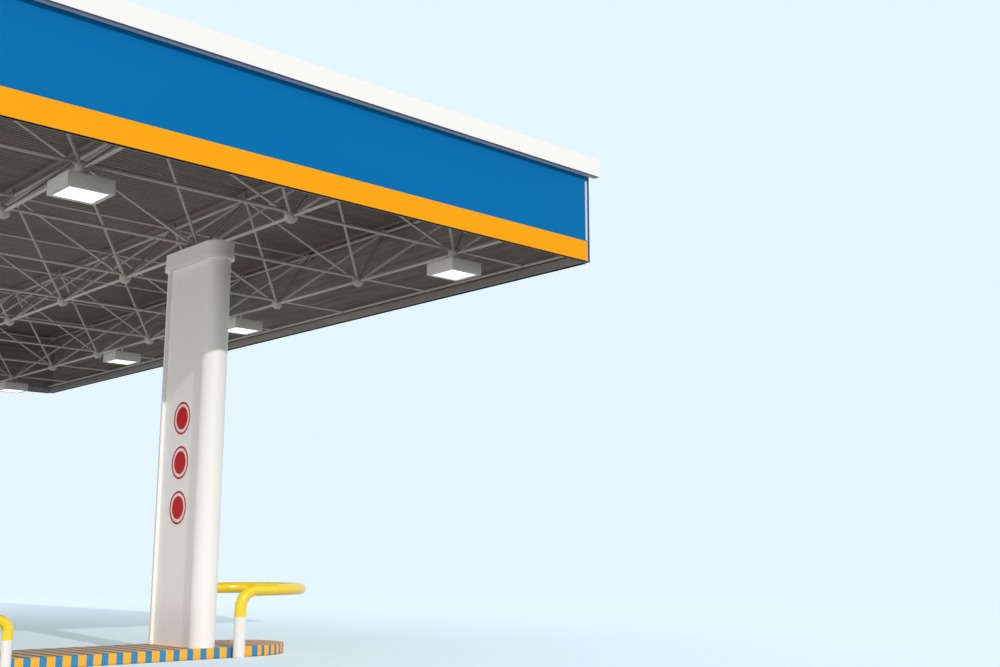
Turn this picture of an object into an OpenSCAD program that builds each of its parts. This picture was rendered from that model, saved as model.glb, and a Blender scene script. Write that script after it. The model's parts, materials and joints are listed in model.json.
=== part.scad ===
/* [Space frame] */
// Bay of the space frame along the front
bay_x = 3000; // [2400:50:3600]
// Bay of the space frame from front to back
bay_y = 2500; // [2100:50:3000]
// Bottom chord nodes along the front
nodes_x = 9; // [5:2:11]
// Bottom chord nodes from front to back
nodes_y = 8; // [4:2:10]
// Height of the bottom chord centres above the paving
chord_z = 6040; // [5000:10:7500]
// Depth of the frame between chord centres
truss_h = 1400; // [1100:10:1800]
// Diameter of a bottom ball
ball_d = 195; // [160:1:230]
// Diameter of a top ball
top_ball_d = 150; // [120:1:170]
// Depth of the bolting flats on a bottom ball
ball_flat = 7.5; // [5:0.5:14]
// Depth of the bolting flats on a top ball
top_flat = 9; // [5:0.5:14]
// Diameter of a chord tube
chord_d = 51; // [44:1:64]
// Height of the chords along the front above the centres of the bottom balls
chord_rise = 65; // [58:1:78]
// Diameter of a web tube
web_d = 45; // [42:1:60]
// Length of the cone on each end of a tube
cone_l = 90; // [60:5:140]
// Diameter of a tube's nose where it bolts to a ball
nose_d = 36; // [24:1:42]

/* [Edge rails] */
// Diameter of the rail along each side
rail_d = 48; // [42:1:58]
// Diameter of the struts that reach out to the edges
strut_d = 45; // [38:1:50]
// Diameter of the cleats between frame and fascia
cleat_d = 34; // [20:1:40]

/* [Roof] */
// Fall of the roof from ridge to eaves, in millimetres per metre
roof_fall = 10; // [4:1:20]
// Underside of the roof sheet above the top chord at the eaves
sheet_up = 125; // [118:1:145]
// Width of a purlin
purlin_w = 60; // [40:1:80]
// Height of a purlin
purlin_h = 45; // [35:1:45]
// Diameter of the stubs under the purlins
stub_d = 48; // [30:1:60]
// Pitch of the ribs in the roof sheet
rib_pitch = 100; // [100:5:300]
// Height of a rib
rib_h = 24; // [15:1:38]
// Width of a rib at its foot
rib_foot = 60; // [50:2:90]
// Width of a rib at its crown
rib_crown = 34; // [16:2:44]
// Thickness of the roof sheet
sheet_t = 4; // [2:0.5:6]
// Width of the ridge cap over each slope
ridge_w = 300; // [200:10:450]

/* [Fascia] */
// Distance from the outer top chord to the outer face of the fascia
face_out = 120; // [120:1:160]
// Thickness of the fascia panels
panel_t = 40; // [25:1:40]
// Height of the orange band
band_h = 316; // [200:2:450]
// Height of the dark trim under the band
trim_h = 14; // [8:1:30]
// Distance from the bottom chord centre down to the fascia's lower edge
face_drop = 105; // [80:1:160]
// Width of the bright post at each corner
corner_w = 90; // [60:1:90]
// Size of the dark bead on each corner
bead = 45; // [12:1:55]
// Depth of the channel that backs the band
back_t = 38; // [20:1:40]

/* [Coping] */
// Height of the coping
coping_h = 287; // [200:1:400]
// Distance that the front and back copings stand out from the fascia
coping_out = 125; // [60:5:250]
// Distance that the front and back copings run past the corners
coping_end = 125; // [0:5:250]
// Depth of the coping behind the outer face of the fascia
coping_in = 41; // [41:1:44]
// Height of the coping's top above the rib crowns at the eaves
coping_up = 20; // [4:1:60]
// Fall of the coping's top towards the roof
coping_fall = 6; // [0:1:12]
// Open joint between the lengths of coping
coping_gap = 3; // [1:0.5:6]

/* [Columns] */
// Width of a column across its flat sides
col_w = 380; // [320:5:460]
// Length of a column from round end to round end
col_l = 1526; // [1200:2:1900]
// Distance that the flat panels sit behind the round end covers
col_recess = 50; // [30:1:54]
// Thickness of the cover sheet
cover_t = 6; // [4:1:10]
// Thickness of the flat panels
flat_t = 10; // [6:1:14]
// Diameter of each of the two steel posts inside
post_d = 245; // [180:1:254]
// Distance that a post's axis stands in from the centre of its round end
post_in = 13; // [0:1:60]
// Width of the beam across the posts
beam_w = 240; // [180:2:260]
// Height of the beam across the posts
beam_h = 120; // [80:2:130]
// Thickness of the pad under the ball
pad_t = 20; // [10:1:40]
// Height of the column cap
cap_h = 253; // [180:1:300]
// Distance that the cap stands out from the column
cap_out = 50; // [36:1:60]
// Height of the lip round the foot of the cap
lip_h = 74; // [40:1:100]
// Distance that the cap steps in above its lip
lip_step = 14; // [6:1:20]
// Distance from the bottom chord centre to the top of the cap
cap_drop = 4; // [0:1:30]
// Clearance round a chord where it passes the cap
cap_gap = 5; // [2:1:12]

/* [Islands] */
// Height of an island
island_h = 150; // [100:5:220]
// Width of an island
island_w = 1520; // [1200:10:2000]
// Reach of an island past the column on the outer side
island_out = 1600; // [1400:10:2400]
// Reach of an island past the column on the inner side
island_in = 3900; // [3000:10:5000]

/* [Guards] */
// Diameter of the outer guard tube
guard_d = 168; // [114:1:180]
// Height of the outer guard rail's centre
guard_h = 940; // [800:10:1100]
// Bend radius of the outer guard
guard_bend = 250; // [200:5:320]
// Distance from the column centre to the outer guard's posts
guard_post = 440; // [350:5:700]
// Reach of the outer guard past the end of the island
guard_reach = 250; // [100:5:400]
// Diameter of the inner guard tube
low_d = 133; // [89:1:159]
// Height of the inner guard rail's centre
low_h = 630; // [500:10:800]
// Bend radius of the inner guard
low_bend = 140; // [120:5:200]
// Distance from the column centre to the inner guard's posts
low_post = 2840; // [2400:10:3100]
// Reach of the inner guard past the end of the island
low_reach = 200; // [100:5:400]
// Height of the white foot of the outer posts
white_h = 568; // [400:2:650]
// Height of the white foot of the inner posts
low_white_h = 384; // [200:2:450]
// Gap between a guard post and the kerb
kerb_gap = 20; // [10:1:60]

/* [Lamps] */
// Side of a square lamp
lamp_w = 600; // [450:10:800]
// Height of a lamp body
lamp_h = 188; // [120:2:260]
// Distance from the bottom chord centre to the underside of a lamp
lamp_drop = 338; // [320:2:500]
// Width of the rim round the lens
lamp_rim = 46; // [8:1:60]
// Depth of the lens behind the rim
lamp_recess = 6; // [2:1:20]
// Thickness of the lens
lens_t = 8; // [4:1:12]
// Diameter of a lamp's stem
stem_d = 42; // [26:1:60]

/* [Hidden] */
$fn = 64;
ball_r = ball_d / 2;
ball_seat = ball_r - ball_flat;
top_r = top_ball_d / 2;
top_seat = top_r - top_flat;
top_z = chord_z + truss_h;
rise_z = chord_z + chord_rise;
rail_x = nodes_x * bay_x / 2;
rail_y = nodes_y * bay_y / 2;
face_x = rail_x + face_out;
face_y = rail_y + face_out;
face_z = chord_z - face_drop;
back_top = chord_z + 0.55 * strut_d;
band_z = face_z + trim_h;
panel_z = band_z + band_h;
post_back = max(corner_w, panel_t + back_t + 2);
col_x = (nodes_x - 3) * bay_x / 2;
col_y = (nodes_y - 3) * bay_y / 2;
col_r = col_w / 2;
col_flat = col_l / 2 - col_r;
cap_top = chord_z - cap_drop;
cap_z = cap_top - cap_h;
flange_t = 12;
cover_top = cap_z + flange_t;
web_out = col_r - col_recess;
post_y = col_flat - post_in;
base_t = 20;
rib_t = 8;
rib_end = 150;
beam_z = chord_z - ball_seat - pad_t - beam_h;
sheet_z = top_z + sheet_up;
sheet_gap = 10;
ridge_t = 3;
verge_t = 5;
sheet_x = face_x - coping_in - sheet_gap;
sheet_y = face_y - coping_in - verge_t;
coping_top = sheet_z + rib_h + sheet_t + coping_up;
coping_z = coping_top - coping_h;
panel_h = coping_z - panel_z;
fall = roof_fall / 1000;
ridge_z = sheet_z + sheet_x * fall;
island_r = island_w / 2;
guard_y = island_r + kerb_gap + guard_d / 2;
low_y = island_r + kerb_gap + low_d / 2;
saddle_w = 70;
saddle_h = 60;
lamp_rows = [0, nodes_y / 2 - 1.5, nodes_y / 2 + 0.5, nodes_y - 1];
frame_white = "gainsboro";

function bottom_node(i, j) = [(i - (nodes_x - 1) / 2) * bay_x, (j - (nodes_y - 1) / 2) * bay_y, chord_z];
function top_node(i, j) = [(i - nodes_x / 2) * bay_x, (j - nodes_y / 2) * bay_y, top_z];
function sheet_under(x) = ridge_z - abs(x) * fall;
function has(i, n) = i >= 0 && i < n;

// turns a child's Z axis towards the direction v
module aim(v) {
    rotate([0, acos(v[2] / norm(v)), atan2(v[1], v[0])]) children();
}

// solid ball with a bolting flat for each tube that meets it
module ball(r, seat, dirs) {
    difference() {
        sphere(r);
        for (v = dirs)
            aim(v) translate([0, 0, seat]) cylinder(h = r, r = r);
    }
}

// tube with a conical end at each ball, from seat to seat
module bar(a, b, d, seat_a, seat_b) {
    span = norm(b - a) - seat_a - seat_b;
    nose_r = min(nose_d, 0.7 * d) / 2;
    translate(a) aim(b - a) translate([0, 0, seat_a])
        rotate_extrude()
            polygon([[0, 0], [nose_r, 0], [d / 2, cone_l],
                [d / 2, span - cone_l], [nose_r, span], [0, span]]);
}

module at_columns() {
    for (sx = [-1, 1], sy = [-1, 1])
        translate([sx * col_x, sy * col_y, 0]) scale_x(sx) children();
}

// mirrors a child left to right when s is negative
module scale_x(s) {
    mirror([s < 0 ? 1 : 0, 0, 0]) children();
}

// tube that meets the shoulders of two balls, its ends cut to their roundness
module raised_bar(a, b) {
    start = ball_r / 4;
    difference() {
        translate(a + [0, 0, chord_rise]) aim(b - a) translate([0, 0, start])
            cylinder(h = norm(b - a) - 2 * start, d = chord_d);
        for (c = [a, b])
            translate(c) sphere(ball_r);
    }
}

// every bottom ball: flats for the members from front to back, for four webs and for a plug below
module bottom_balls() {
    color(frame_white)
    for (i = [0:nodes_x - 1], j = [0:nodes_y - 1])
        translate(bottom_node(i, j)) ball(ball_r, ball_seat, concat(
            [[0, -1, 0], [0, 1, 0], [0, 0, -1]],
            [for (sx = [-1, 1], sy = [-1, 1]) [sx * bay_x / 2, sy * bay_y / 2, truss_h]]));
}

// every top ball: chords, the webs below it, a flat for the purlin stub and one for a cleat
module top_balls() {
    color(frame_white)
    for (i = [0:nodes_x], j = [0:nodes_y])
        translate(top_node(i, j)) ball(top_r, top_seat, concat(
            [for (s = [-1, 1]) [s, 0, 0]],
            [for (s = [-1, 1]) [0, s, 0]],
            [for (sx = [-1, 0], sy = [-1, 0]) if (has(i + sx, nodes_x) && has(j + sy, nodes_y))
                [(sx + 0.5) * bay_x, (sy + 0.5) * bay_y, -truss_h]],
            [[0, 0, 1]]));
}

module bottom_chords_along() {
    color(frame_white)
    for (i = [0:nodes_x - 2], j = [0:nodes_y - 1])
        raised_bar(bottom_node(i, j), bottom_node(i + 1, j));
}

module bottom_chords_across() {
    color(frame_white)
    for (i = [0:nodes_x - 1], j = [0:nodes_y - 2])
        bar(bottom_node(i, j), bottom_node(i, j + 1), chord_d, ball_seat, ball_seat);
}

module top_chords_along() {
    color(frame_white)
    for (i = [0:nodes_x - 1], j = [0:nodes_y])
        bar(top_node(i, j), top_node(i + 1, j), chord_d, top_seat, top_seat);
}

module top_chords_across() {
    color(frame_white)
    for (i = [0:nodes_x], j = [0:nodes_y - 1])
        bar(top_node(i, j), top_node(i, j + 1), chord_d, top_seat, top_seat);
}

// one web from each bottom ball towards the same top corner
module webs(di, dj) {
    color(frame_white)
    for (i = [0:nodes_x - 1], j = [0:nodes_y - 1])
        bar(bottom_node(i, j), top_node(i + di, j + dj), web_d, ball_seat, top_seat);
}

module webs_front_right() { webs(1, 0); }
module webs_front_left() { webs(0, 0); }
module webs_back_right() { webs(1, 1); }
module webs_back_left() { webs(0, 1); }

// tubes from a side ball's shoulder to the rail, cut to the roundness of both
module side_strut(s, a) {
    difference() {
        translate(a + [s * ball_r / 4, 0, chord_rise]) aim([s, 0, 0])
            cylinder(h = (bay_x - ball_r / 2) / 2, d = strut_d);
        translate(a) sphere(ball_r);
        translate([s * rail_x, -rail_y, rise_z]) rotate([-90, 0, 0]) cylinder(h = 2 * rail_y, d = rail_d);
    }
}

// tube with a cone at the ball and a plain end on the channel behind the band
module end_strut(s, a) {
    span = bay_y / 2 + face_out - panel_t - back_t - ball_seat;
    translate(a) aim([0, s, 0]) translate([0, 0, ball_seat]) rotate_extrude()
        polygon([[0, 0], [nose_d / 2, 0], [strut_d / 2, cone_l], [strut_d / 2, span], [0, span]]);
}

module edge_struts() {
    color(frame_white) {
        for (s = [-1, 1], j = [0:nodes_y - 1])
            side_strut(s, bottom_node(s < 0 ? 0 : nodes_x - 1, j));
        for (s = [-1, 1], i = [0:nodes_x - 1])
            end_strut(s, bottom_node(i, s < 0 ? 0 : nodes_y - 1));
    }
}

// rails that run from the front panels to the back ones
module edge_rails() {
    long = 2 * (face_y - panel_t);
    color(frame_white)
    for (s = [-1, 1])
        translate([s * rail_x, -long / 2, rise_z]) rotate([-90, 0, 0]) cylinder(h = long, d = rail_d);
}

// cleats from the outer top balls to the coping and from the rails to the back of the panels
module fascia_cleats() {
    top_l = face_out - coping_in - top_seat;
    rail_l = face_out - panel_t - rail_d / 2;
    color(frame_white) {
        for (s = [-1, 1], j = [1:nodes_y - 1])
            translate([s * (rail_x + top_seat), top_node(0, j)[1], top_z]) aim([s, 0, 0])
                cylinder(h = top_l, d = cleat_d);
        for (s = [-1, 1], i = [1:nodes_x - 1])
            translate([top_node(i, 0)[0], s * (rail_y + top_seat), top_z]) aim([0, s, 0])
                cylinder(h = top_l, d = cleat_d);
        for (s = [-1, 1], j = [0:nodes_y - 1])
            translate([s * (rail_x + rail_d / 2), bottom_node(0, j)[1], rise_z]) aim([s, 0, 0])
                cylinder(h = rail_l, d = cleat_d);
    }
}

// stubs of growing height that give the roof its fall
module purlin_stubs() {
    color("dimgray")
    for (i = [0:nodes_x], j = [0:nodes_y]) {
        p = top_node(i, j);
        top = sheet_under(abs(p[0]) + purlin_w / 2) - purlin_h;
        translate([p[0], p[1], top_z + top_seat]) cylinder(h = top - top_z - top_seat, d = stub_d);
    }
}

module purlins() {
    color("dimgray")
    for (i = [0:nodes_x]) {
        x = top_node(i, 0)[0];
        top = sheet_under(abs(x) + purlin_w / 2);
        translate([x - purlin_w / 2, -sheet_y, top - purlin_h]) cube([purlin_w, 2 * sheet_y, purlin_h]);
    }
}

// ribbed sheet whose ribs run down the fall
module sheet_profile() {
    n = floor(2 * sheet_y / rib_pitch);
    under = concat([[-sheet_y, 0]],
        [for (k = [0:n - 1]) let (c = (k - (n - 1) / 2) * rib_pitch)
            each [[c - rib_foot / 2, 0], [c - rib_crown / 2, rib_h],
                [c + rib_crown / 2, rib_h], [c + rib_foot / 2, 0]]],
        [[sheet_y, 0]]);
    polygon(concat(under, [for (k = [len(under) - 1:-1:0]) under[k] + [0, sheet_t]]));
}

module roof_slope() {
    angle = atan(fall);
    translate([0, 0, ridge_z]) rotate([0, angle, 0]) translate([1, 0, 0])
        rotate([90, 0, 90]) linear_extrude(sheet_x / cos(angle) - 1) sheet_profile();
}

module roof_sheet_right() {
    color("dimgray") roof_slope();
}

module roof_sheet_left() {
    color("dimgray") mirror([1, 0, 0]) roof_slope();
}

// folded cap that lies on the rib crowns along the ridge
module ridge_cap() {
    base = ridge_z + rib_h + sheet_t;
    drop = ridge_w * fall;
    color("lightgray") translate([0, sheet_y, base]) rotate([90, 0, 0])
        linear_extrude(2 * sheet_y)
            polygon([[-ridge_w, -drop], [0, 0], [ridge_w, -drop],
                [ridge_w, ridge_t - drop], [0, ridge_t], [-ridge_w, ridge_t - drop]]);
}

// upright trims that stand against the coping and close the ends of the ribs
module verge_trims() {
    foot = sheet_z + sheet_t / 2;
    color("white")
    for (s = [-1, 1], side = [-1, 1])
        scale_x(side) translate([1, s * (face_y - coping_in) - (s > 0 ? verge_t : 0), 0])
            rotate([90, 0, 0]) mirror([0, 0, 1]) linear_extrude(verge_t)
                polygon([[0, foot], [sheet_x, foot], [sheet_x, coping_top],
                    [0, max(coping_top, ridge_z + rib_h + sheet_t)]]);
}

// straight prism along each side, stopping short of the corners
module four_sides(end, back, z, t, h) {
    for (s = [-1, 1])
        translate([-face_x + end, s > 0 ? face_y - back - t : -face_y + back, z])
            cube([2 * (face_x - end), t, h]);
    for (s = [-1, 1])
        translate([s > 0 ? face_x - back - t : -face_x + back, -face_y + end, z])
            cube([t, 2 * (face_y - end), h]);
}

module fascia_panels() {
    color("steelblue") four_sides(corner_w, 0, panel_z, panel_t, panel_h);
}

module fascia_bands() {
    color("orange") four_sides(corner_w, 0, band_z, panel_t, band_h);
}

module fascia_trims() {
    color("midnightblue") four_sides(corner_w, 0, face_z, panel_t, trim_h);
}

// channels behind the band, up to the top of the struts that meet them
module fascia_backing() {
    color("gray") four_sides(post_back, panel_t, face_z, back_t, back_top - face_z);
}

module at_corners() {
    for (a = [0, 180]) {
        rotate([0, 0, a]) translate([face_x, -face_y, face_z]) children();
        rotate([0, 0, a]) mirror([0, 1, 0]) translate([face_x, -face_y, face_z]) children();
    }
}

// behind the panels a post is at least wide enough for the back channels to end on it
module corner_posts() {
    color("whitesmoke") at_corners()
        linear_extrude(coping_z - face_z) union() {
            polygon([[-corner_w, 0], [-bead, 0], [0, bead], [0, corner_w], [-corner_w, corner_w]]);
            translate([-post_back, panel_t]) square(post_back - panel_t);
        }
}

module corner_beads() {
    color("navy") at_corners()
        linear_extrude(coping_z - face_z) polygon([[-bead, 0], [0, 0], [0, bead]]);
}

// boxed coping at the front or back; past the corners it is only the part outside the fascia
module long_coping() {
    long = 2 * (face_x + coping_end);
    translate([-long / 2, -face_y, coping_z]) difference() {
        rotate([90, 0, 90]) linear_extrude(long)
            polygon([[-coping_out, 0], [coping_in, 0],
                [coping_in, coping_h - coping_fall], [-coping_out, coping_h]]);
        for (x = [-1, long - coping_end])
            translate([x, 0, -1]) cube([coping_end + 1, coping_in + 1, coping_h + 2]);
    }
}

// coping along a side, flush with the fascia, between the other two
module short_coping() {
    long = 2 * (face_y - coping_in - coping_gap);
    translate([face_x, long / 2, coping_z]) rotate([90, 0, 0]) linear_extrude(long)
        polygon([[-coping_in, 0], [0, 0], [0, coping_h], [-coping_in, coping_h - coping_fall]]);
}

module coping() {
    color("white")
    for (turn = [0, 180])
        rotate([0, 0, turn]) {
            long_coping();
            short_coping();
        }
}

module column_posts() {
    color("slategray") at_columns()
    for (s = [-1, 1])
        translate([0, s * post_y, island_h + base_t]) cylinder(h = beam_z - island_h - base_t, d = post_d);
}

module column_base_plates() {
    wide = post_d - 4;
    long = 2 * (post_y + post_d / 2);
    color("slategray") at_columns()
        translate([-wide / 2, -long / 2, island_h]) cube([wide, long, base_t]);
}

// beam across the two posts of a column
module head_beams() {
    long = 2 * (post_y + post_d / 4);
    color("slategray") at_columns()
        translate([-beam_w / 2, -long / 2, beam_z]) cube([beam_w, long, beam_h]);
}

// pad that carries the ball over the column
module bearing_pads() {
    color("slategray") at_columns() translate([0, 0, beam_z + beam_h]) cylinder(h = pad_t, d = 0.6 * ball_d);
}

// ribs between the posts that hold the flat panels
module column_ribs() {
    wide = 2 * (web_out - flat_t);
    long = 2 * post_y - post_d;
    color("slategray") at_columns()
    for (z = [island_h + rib_end, (island_h + cover_top) / 2, cover_top - rib_end])
        translate([-wide / 2, -long / 2, z]) cube([wide, long, rib_t]);
}

// half round with a flat back
module half_round(r, back) {
    intersection() {
        circle(r);
        translate([-r, back]) square([2 * r, r]);
    }
}

// half-round shell whose back closes on the panels and on the post
module column_end_covers() {
    color("whitesmoke") at_columns() translate([0, 0, island_h])
    for (s = [0, 1]) mirror([0, s, 0]) translate([0, col_flat, 0])
        linear_extrude(cover_top - island_h) difference() {
            half_round(col_r, 0);
            half_round(col_r - cover_t, cover_t);
            translate([-post_d / 2, -1]) square([post_d, cover_t + 2]);
        }
}

module column_panels() {
    color("whitesmoke") at_columns() translate([0, 0, island_h])
    for (s = [0, 1]) mirror([s, 0, 0])
        translate([web_out - flat_t, -col_flat, 0]) cube([flat_t, 2 * col_flat, cover_top - island_h]);
}

// section of the cap: a lip with eased edges, a set-back wall and the flange that rests on the covers
function cap_section() = let (lip = col_r + cap_out, wall = lip - lip_step) [
    [col_r + 1, 0], [lip - 4, 0], [lip, 4], [lip, lip_h - 8], [lip - 3, lip_h - 3],
    [wall, lip_h + 2], [wall, cap_h], [wall - cover_t, cap_h], [wall - cover_t, 2 * flange_t],
    [web_out, 2 * flange_t], [web_out, flange_t], [col_r + 1, flange_t]];

// cap that rests on the top of the covers and lets the chords from front to back through
module column_caps() {
    slot = chord_d / 2 + cap_gap;
    color("whitesmoke") at_columns() difference() {
        translate([0, 0, cap_z]) {
            for (s = [0, 1]) mirror([0, s, 0]) translate([0, col_flat, 0])
                rotate_extrude(angle = 180) polygon(cap_section());
            for (s = [0, 1]) mirror([s, 0, 0]) translate([0, col_flat, 0]) rotate([90, 0, 0])
                linear_extrude(2 * col_flat) polygon(cap_section());
        }
        translate([0, col_l, chord_z]) rotate([90, 0, 0]) cylinder(h = 2 * col_l, r = slot);
    }
}

// outline of an island about its column
module island_outline() {
    inner = island_r - island_in;
    outer = island_out - island_r;
    translate([inner, -island_r]) square([outer - inner, island_w]);
    for (x = [inner, outer]) translate([x, 0]) circle(island_r);
}

module islands() {
    color("orange") at_columns() linear_extrude(island_h) island_outline();
}

// bent tube: rises from the foot, turns along the kerb and runs round the end
module hoop(d, h, foot, bend, post_x, tip_x, y) {
    arc_x = tip_x - y;
    for (s = [0, 1]) mirror([0, s, 0]) translate([0, -y, 0]) {
        translate([post_x, 0, foot]) cylinder(h = h - bend - foot, d = d);
        translate([post_x + bend, 0, h - bend]) rotate([90, 0, 0]) rotate([0, 0, 90])
            rotate_extrude(angle = 90) translate([bend, 0]) circle(d = d);
        translate([post_x + bend, 0, h]) rotate([0, 90, 0]) cylinder(h = arc_x - post_x - bend, d = d);
    }
    translate([arc_x, 0, h]) rotate([0, 0, -90]) rotate_extrude(angle = 180) translate([y, 0]) circle(d = d);
}

module outer_guards() {
    color("gold") at_columns()
        hoop(guard_d, guard_h, white_h, guard_bend, guard_post, island_out + guard_reach, guard_y);
}

module outer_guard_feet() {
    color("white") at_columns()
    for (s = [-1, 1]) translate([guard_post, s * guard_y, 0]) cylinder(h = white_h, d = guard_d);
}

module inner_guards() {
    color("gold") at_columns() mirror([1, 0, 0])
        hoop(low_d, low_h, low_white_h, low_bend, low_post, island_in + low_reach, low_y);
}

module inner_guard_feet() {
    color("white") at_columns()
    for (s = [-1, 1]) translate([-low_post, s * low_y, 0]) cylinder(h = low_white_h, d = low_d);
}

// saddles that hold a post to the kerb
module saddle(x, d) {
    for (s = [0, 1]) mirror([0, s, 0]) difference() {
        translate([x - saddle_w / 2, island_r, (island_h - saddle_h) / 2])
            cube([saddle_w, kerb_gap + d / 4, saddle_h]);
        translate([x, island_r + kerb_gap + d / 2, 0]) cylinder(h = island_h, d = d);
    }
}

module guard_saddles() {
    color("gray") at_columns() {
        saddle(guard_post, guard_d);
        saddle(-low_post, low_d);
    }
}

// lamps hang at every other line of nodes, in four rows from front to back
module at_lamps() {
    for (i = [0:2:nodes_x - 1], row = lamp_rows)
        translate(bottom_node(i, row) - [0, 0, lamp_drop]) children();
}

module lamp_bodies() {
    inner = lamp_w - 2 * lamp_rim;
    deep = lamp_recess + lens_t;
    color("whitesmoke") at_lamps() difference() {
        translate([-lamp_w / 2, -lamp_w / 2, 0]) cube([lamp_w, lamp_w, lamp_h]);
        translate([-inner / 2, -inner / 2, -1]) cube([inner, inner, deep + 1]);
    }
}

module lamp_lenses() {
    inner = lamp_w - 2 * lamp_rim;
    color("white") at_lamps()
        translate([-inner / 2, -inner / 2, lamp_recess]) cube([inner, inner, lens_t]);
}

// stems reach up to a ball's flat, or are cut to the roundness of a chord
module lamp_stems() {
    high = lamp_drop - lamp_h;
    color("whitesmoke")
    for (i = [0:2:nodes_x - 1], row = lamp_rows)
        translate(bottom_node(i, row)) difference() {
            on_ball = row == floor(row);
            translate([0, 0, -high]) cylinder(h = on_ball ? high - ball_seat : high, d = stem_d);
            if (!on_ball)
                rotate([90, 0, 0]) cylinder(h = 2 * stem_d, d = chord_d, center = true);
        }
}

bottom_balls();
top_balls();
bottom_chords_along();
bottom_chords_across();
top_chords_along();
top_chords_across();
webs_front_right();
webs_front_left();
webs_back_right();
webs_back_left();
edge_struts();
edge_rails();
fascia_cleats();
purlin_stubs();
purlins();
roof_sheet_right();
roof_sheet_left();
ridge_cap();
verge_trims();
fascia_panels();
fascia_bands();
fascia_trims();
fascia_backing();
corner_posts();
corner_beads();
coping();
column_posts();
column_base_plates();
head_beams();
bearing_pads();
column_ribs();
column_end_covers();
column_panels();
column_caps();
islands();
outer_guards();
outer_guard_feet();
inner_guards();
inner_guard_feet();
guard_saddles();
lamp_bodies();
lamp_lenses();
lamp_stems();
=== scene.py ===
import json
import math

import bmesh
import bpy
import numpy as np
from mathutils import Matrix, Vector


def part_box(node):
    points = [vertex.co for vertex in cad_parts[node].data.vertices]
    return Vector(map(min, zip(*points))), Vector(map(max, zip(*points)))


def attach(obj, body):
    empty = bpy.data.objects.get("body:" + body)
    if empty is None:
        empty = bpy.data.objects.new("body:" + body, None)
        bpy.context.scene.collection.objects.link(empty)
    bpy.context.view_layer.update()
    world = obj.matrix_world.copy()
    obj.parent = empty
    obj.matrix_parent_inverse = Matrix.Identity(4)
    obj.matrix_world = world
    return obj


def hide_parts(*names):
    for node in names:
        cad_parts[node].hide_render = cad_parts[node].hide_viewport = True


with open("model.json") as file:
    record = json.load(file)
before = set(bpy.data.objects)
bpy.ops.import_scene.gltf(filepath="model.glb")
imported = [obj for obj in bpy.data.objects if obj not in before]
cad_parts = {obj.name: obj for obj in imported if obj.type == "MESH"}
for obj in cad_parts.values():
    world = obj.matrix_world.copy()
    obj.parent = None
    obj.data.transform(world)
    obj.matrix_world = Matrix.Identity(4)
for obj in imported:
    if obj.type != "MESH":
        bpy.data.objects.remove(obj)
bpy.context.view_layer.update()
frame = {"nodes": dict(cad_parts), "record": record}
nodes = frame["nodes"]
print("stage: frame loaded,", len(nodes), "nodes")

# the frame's own grid, as the real one is set out, in metres
grid = {
    "bayX": 3.0,  # along the front
    "bayY": 2.5,  # front to back
    "bottomX": 9,
    "bottomY": 8,
    "bottomZ": 6.04,
    "topZ": 7.44,
    "rise": 0.065,  # tubes along the front, above the ball centres
    "ballRadius": 0.0975,
    "bottomSeat": 0.090,  # ball centre to bolting flat
    "topSeat": 0.066,
    "coneLength": 0.09,
    "chordRadius": 0.0255,
    "webRadius": 0.0225,
    "railX": 13.5,
    "railRadius": 0.024,
    "columnX": 9.0,
    "columnY": 6.25,
}


def linearColour(hexText):
    # an sRGB hex value as Blender wants it, in linear light
    parts = [int(hexText[at:at + 2], 16) / 255 for at in (1, 3, 5)]
    return tuple(v / 12.92 if v <= 0.04045 else ((v + 0.055) / 1.055) ** 2.4 for v in parts) + (1.0,)


def dimmed(colour, share):
    # the same colour at a share of its light
    return tuple(share * v for v in colour[:3]) + (1.0,)


def addNode(tree, kind, settings=None, links=None):
    node = tree.nodes.new(kind)
    for key, value in (settings or {}).items():
        if key == "stops":
            ramp = node.color_ramp
            while len(ramp.elements) < len(value):
                ramp.elements.new(1.0)
            for element, (place, colour) in zip(ramp.elements, value):
                element.position = place
                element.color = colour
        elif key in node.inputs:
            node.inputs[key].default_value = value
        else:
            setattr(node, key, value)
    for key, socket in (links or {}).items():
        tree.links.new(socket, node.inputs[key])
    return node


def newFinish(name, settings):
    # an empty material with one surface shader, and the place of each point in metres
    material = bpy.data.materials.new(name)
    material.use_nodes = True
    tree = material.node_tree
    tree.nodes.clear()
    shader = addNode(tree, "ShaderNodeBsdfPrincipled", settings)
    addNode(tree, "ShaderNodeOutputMaterial", None, {"Surface": shader.outputs[0]})
    place = addNode(tree, "ShaderNodeTexCoord").outputs["Object"]
    return material, tree, shader, place


def noiseOf(tree, place, sizeMm, detail=3.0, rough=0.55):
    # noise whose grain has the given size in millimetres along X, Y and Z
    spread = addNode(tree, "ShaderNodeMapping", {"Scale": tuple(1000 / s for s in sizeMm)}, {"Vector": place})
    noise = addNode(tree, "ShaderNodeTexNoise", {"Scale": 1.0, "Detail": detail, "Roughness": rough},
                    {"Vector": spread.outputs[0]})
    return noise.outputs["Fac"]


def crystalsOf(tree, place, perMetre):
    # cells with a grey of their own, so many to a metre
    spread = addNode(tree, "ShaderNodeMapping", {"Scale": (perMetre,) * 3}, {"Vector": place})
    cells = addNode(tree, "ShaderNodeTexVoronoi", {"Scale": 1.0}, {"Vector": spread.outputs[0]})
    return addNode(tree, "ShaderNodeRGBToBW", None, {0: cells.outputs["Color"]}).outputs[0]


def blendOf(tree, factor, first, second):
    # colour between two hex values, colours or sockets, by a number or a socket
    node = addNode(tree, "ShaderNodeMix", {"data_type": "RGBA"})
    for index, value in ((0, factor), (6, first), (7, second)):
        if isinstance(value, str):
            value = linearColour(value)
        if isinstance(value, (int, float, tuple)):
            node.inputs[index].default_value = value
        else:
            tree.links.new(value, node.inputs[index])
    return node.outputs[2]


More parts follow.
